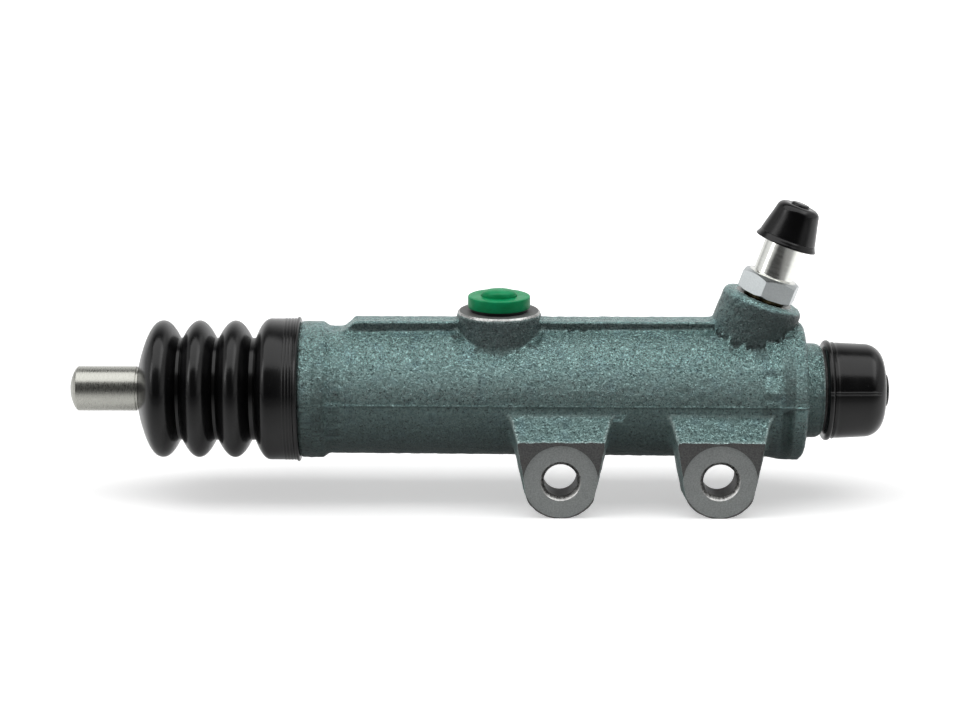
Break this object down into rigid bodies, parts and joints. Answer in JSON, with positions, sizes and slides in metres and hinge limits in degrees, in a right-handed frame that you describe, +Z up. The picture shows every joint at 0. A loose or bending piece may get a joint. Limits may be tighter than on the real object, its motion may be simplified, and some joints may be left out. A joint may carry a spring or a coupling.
{
  "type": "clutch slave cylinder",
  "caption": "Cast hydraulic slave cylinder on two bolt ears, with a push rod in a ribbed dust boot, a capped bleeder screw, a plugged inlet and a capped rear plug.",
  "frame": {"origin": "middle of the two bolt holes, on the back (mating) face of the ears", "axes": "+X along the bore towards the rear cap, +Y through the bolt holes from the bolt heads to the mating face, +Z up towards the inlet"},
  "size_m": [0.209, 0.0385, 0.0774],
  "materials": {
    "cast_body": "sprayed grey-green over cast iron",
    "rubber": "semi-gloss moulded",
    "rod_steel": "ground",
    "piston_alloy": "turned",
    "spring_steel": "drawn wire",
    "zinc_steel": "bright zinc",
    "dark_steel": "phosphated",
    "brass": "turned",
    "copper": "soft copper",
    "green_plastic": "moulded"
  },
  "bodies": {
    "housing": {"cylinder_body": "cast_body", "dust_boot": "rubber", "return_spring": "spring_steel", "stop_washer": "zinc_steel", "snap_ring": "dark_steel", "inlet_seat": "brass", "rear_plug": "zinc_steel", "rear_plug_washer": "copper"},
    "piston_and_rod": {"push_rod": "rod_steel", "piston": "piston_alloy", "secondary_cup": "rubber", "cup_washer": "zinc_steel", "primary_cup": "rubber", "spring_seat": "zinc_steel"},
    "bleeder": {"bleeder_screw": "zinc_steel"},
    "nipple_cap": {"bleeder_cap": "rubber"},
    "transit_plug": {"inlet_plug": "green_plastic", "inlet_plug_ring": "rubber"},
    "end_cap": {"rear_cap": "rubber"}
  },
  "joints": [
    {"name": "piston_stroke", "type": "slide", "parent": "housing", "child": "piston_and_rod", "axis": [1, 0, 0], "range_m": [0, 0.018], "stiffness_N_per_m": 600, "springref_m": -0.03, "deforming": ["dust_boot", "return_spring"]},
    {"name": "bleeder_turn", "type": "hinge", "parent": "housing", "child": "bleeder", "pos_m": [0.0232, 0.012, 0.0185], "axis": [0.3338, 0, 0.9426], "range_deg": [0, 180]},
    {"name": "nipple_cap_pull", "type": "slide", "parent": "bleeder", "child": "nipple_cap", "axis": [0.3338, 0, 0.9426], "range_m": [0, 0.02]},
    {"name": "transit_plug_pull", "type": "slide", "parent": "housing", "child": "transit_plug", "axis": [0, 0, 1], "range_m": [0, 0.012]},
    {"name": "end_cap_pull", "type": "slide", "parent": "housing", "child": "end_cap", "axis": [1, 0, 0], "range_m": [0, 0.02]}
  ]
}
